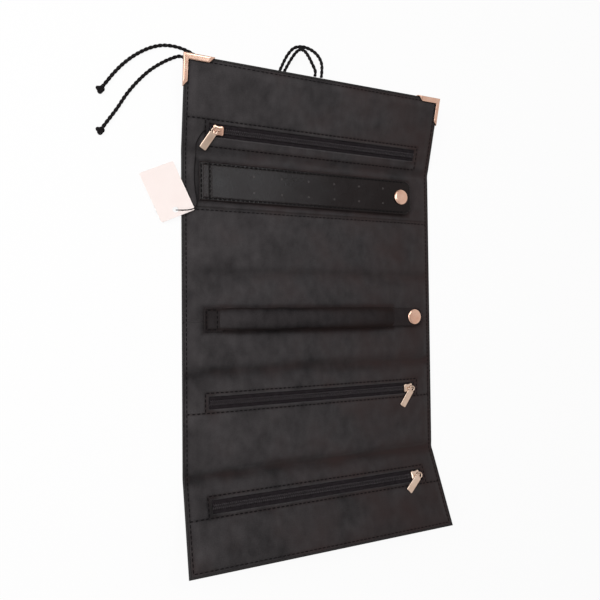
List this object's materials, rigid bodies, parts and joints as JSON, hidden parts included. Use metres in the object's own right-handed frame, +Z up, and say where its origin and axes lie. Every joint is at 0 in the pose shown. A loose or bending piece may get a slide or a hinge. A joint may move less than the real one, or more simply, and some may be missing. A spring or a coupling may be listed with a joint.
{
  "type": "jewelry roll",
  "caption": "Folding jewelry roll lying open: padded panels with zip pockets, a snapped earring flap, a snapped ring bar, corner caps, a tie cord and a bare swing tag.",
  "frame": {"origin": "on the resting surface, under the middle of the open roll's own box", "axes": "+X to the right across the roll, +Y along it towards the top flap, +Z up out of the lining"},
  "size_m": [0.2675, 0.3798, 0.0297],
  "materials": {
    "cover_leather": "black smooth leather, semi-matt, turned in at the edges",
    "board": "stiff grey-brown board and thin wadding, inside",
    "lining_suede": "charcoal suede cloth, brushed nap",
    "pocket_cloth": "thin black pocket cloth, inside",
    "zip_tape": "black woven zip tape with a moulded coil",
    "flap_leather": "black grained leather with a soft sheen",
    "bar_suede": "charcoal suede cloth, darker than the lining",
    "rose_gold": "rose-gold plate, satin to bright",
    "cord": "black soft cord",
    "card": "pale blush card, matt, blank"
  },
  "bodies": {
    "ring_panel": {"ring_panel_cover": "cover_leather", "ring_panel_board": "board", "ring_panel_lining": "lining_suede", "ring_bar_anchor": "bar_suede", "ring_snap_stud": "rose_gold"},
    "earring_panel": {"earring_panel_cover": "cover_leather", "earring_panel_board": "board", "earring_panel_lining_upper": "lining_suede", "earring_panel_lining_lower": "lining_suede", "earring_flap_anchor": "flap_leather", "earring_snap_stud": "rose_gold", "swing_tag": "card", "tag_string": "cord"},
    "top_flap": {"top_flap_cover": "cover_leather", "top_flap_board": "board", "top_flap_pocket_sheet": "pocket_cloth", "top_flap_lining_upper": "lining_suede", "top_flap_lining_lower": "lining_suede", "top_zip_tape_upper": "zip_tape", "top_zip_tape_lower": "zip_tape", "corner_cap_left": "rose_gold", "corner_cap_right": "rose_gold", "tag_string_end": "cord", "tie_cord_lower": "cord", "tie_knot_lower": "cord", "tie_cord_upper": "cord", "tie_knot_upper": "cord"},
    "pocket_panel": {"pocket_panel_cover": "cover_leather", "pocket_panel_board": "board", "pocket_panel_pocket_sheet": "pocket_cloth", "pocket_panel_lining_upper": "lining_suede", "pocket_panel_lining_lower": "lining_suede", "pocket_zip_tape_upper": "zip_tape", "pocket_zip_tape_lower": "zip_tape"},
    "end_flap": {"end_flap_cover": "cover_leather", "end_flap_board": "board", "end_flap_pocket_sheet": "pocket_cloth", "end_flap_lining_upper": "lining_suede", "end_flap_lining_lower": "lining_suede", "end_zip_tape_upper": "zip_tape", "end_zip_tape_lower": "zip_tape"},
    "earring_flap": {"earring_flap": "flap_leather", "earring_snap_cap": "rose_gold", "earring_snap_socket": "rose_gold"},
    "ring_bar": {"ring_bar": "bar_suede", "ring_bar_tab": "bar_suede", "ring_snap_cap": "rose_gold", "ring_snap_socket": "rose_gold"},
    "top_zip_slider": {"top_zip_slider": "rose_gold"},
    "top_zip_pull": {"top_zip_pull": "rose_gold"},
    "pocket_zip_slider": {"pocket_zip_slider": "rose_gold"},
    "pocket_zip_pull": {"pocket_zip_pull": "rose_gold"},
    "end_zip_slider": {"end_zip_slider": "rose_gold"},
    "end_zip_pull": {"end_zip_pull": "rose_gold"}
  },
  "joints": [
    {"name": "fold_earring_panel", "type": "hinge", "parent": "ring_panel", "child": "earring_panel", "pos_m": [0, 0.02636, 0.002], "axis": [-1, 0, 0], "range_deg": [-90, 0]},
    {"name": "fold_top_flap", "type": "hinge", "parent": "earring_panel", "child": "top_flap", "pos_m": [0, 0.11436, 0.002], "axis": [-1, 0, 0], "range_deg": [-74, 0]},
    {"name": "fold_pocket_panel", "type": "hinge", "parent": "ring_panel", "child": "pocket_panel", "pos_m": [0, -0.04464, 0.002], "axis": [1, 0, 0], "range_deg": [-90, 0]},
    {"name": "fold_end_flap", "type": "hinge", "parent": "pocket_panel", "child": "end_flap", "pos_m": [0, -0.11864, 0.002], "axis": [1, 0, 0], "range_deg": [-85, 0]},
    {"name": "earring_flap_lift", "type": "hinge", "parent": "earring_panel", "child": "earring_flap", "pos_m": [-0.08445, 0.09226, 0.0068], "axis": [0, -1, 0], "range_deg": [0, 120]},
    {"name": "ring_bar_lift", "type": "hinge", "parent": "ring_panel", "child": "ring_bar", "pos_m": [-0.07895, -0.00714, 0.0068], "axis": [0, -1, 0], "range_deg": [0, 110]},
    {"name": "top_zip_slide", "type": "slide", "parent": "top_flap", "child": "top_zip_slider", "axis": [1, 0, 0], "range_m": [0, 0.1625]},
    {"name": "top_zip_pull_lift", "type": "hinge", "parent": "top_zip_slider", "child": "top_zip_pull", "pos_m": [-0.08125, 0.12744, 0.01262], "axis": [-1, 0, 0], "range_deg": [0, 160]},
    {"name": "pocket_zip_slide", "type": "slide", "parent": "pocket_panel", "child": "pocket_zip_slider", "axis": [-1, 0, 0], "range_m": [0, 0.1625]},
    {"name": "pocket_zip_pull_lift", "type": "hinge", "parent": "pocket_zip_slider", "child": "pocket_zip_pull", "pos_m": [0.08125, -0.06664, 0.00861], "axis": [-1, 0, 0], "range_deg": [0, 160]},
    {"name": "end_zip_slide", "type": "slide", "parent": "end_flap", "child": "end_zip_slider", "axis": [-1, 0, 0], "range_m": [0, 0.1625]},
    {"name": "end_zip_pull_lift", "type": "hinge", "parent": "end_zip_slider", "child": "end_zip_pull", "pos_m": [0.08125, -0.13515, 0.01699], "axis": [-1, 0, 0], "range_deg": [0, 160]}
  ]
}
